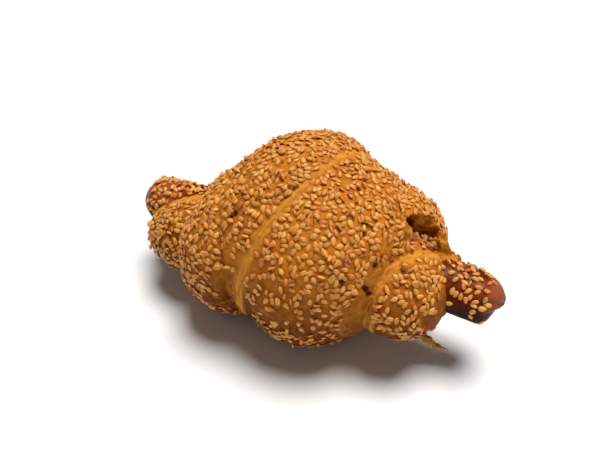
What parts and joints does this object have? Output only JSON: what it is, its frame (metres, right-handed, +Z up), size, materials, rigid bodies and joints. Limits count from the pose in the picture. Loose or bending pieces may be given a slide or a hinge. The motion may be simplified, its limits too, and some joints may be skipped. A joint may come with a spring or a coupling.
{
  "type": "sausage croissant",
  "caption": "Baked croissant roll of laminated dough wound in overlapping turns round a frankfurter whose ends show, crusted with sesame seeds.",
  "frame": {"origin": "middle of the underside of the whole croissant's box, on the flat base that rested on the baking tray", "axes": "+X along the frankfurter towards the end with the round dough coil, +Y to the back, +Z up"},
  "size_m": [0.162, 0.0864, 0.0812],
  "materials": {
    "crust": "golden brown egg-washed crust with a soft sheen, paler in the creases and browner on the crests",
    "sausage_skin": "reddish brown baked skin, finely wrinkled, with an oily sheen",
    "sesame": "toasted sesame seed, pale tan with a waxy sheen"
  },
  "bodies": {
    "root": {"dough": "crust", "sausage": "sausage_skin"}
  },
  "joints": []
}
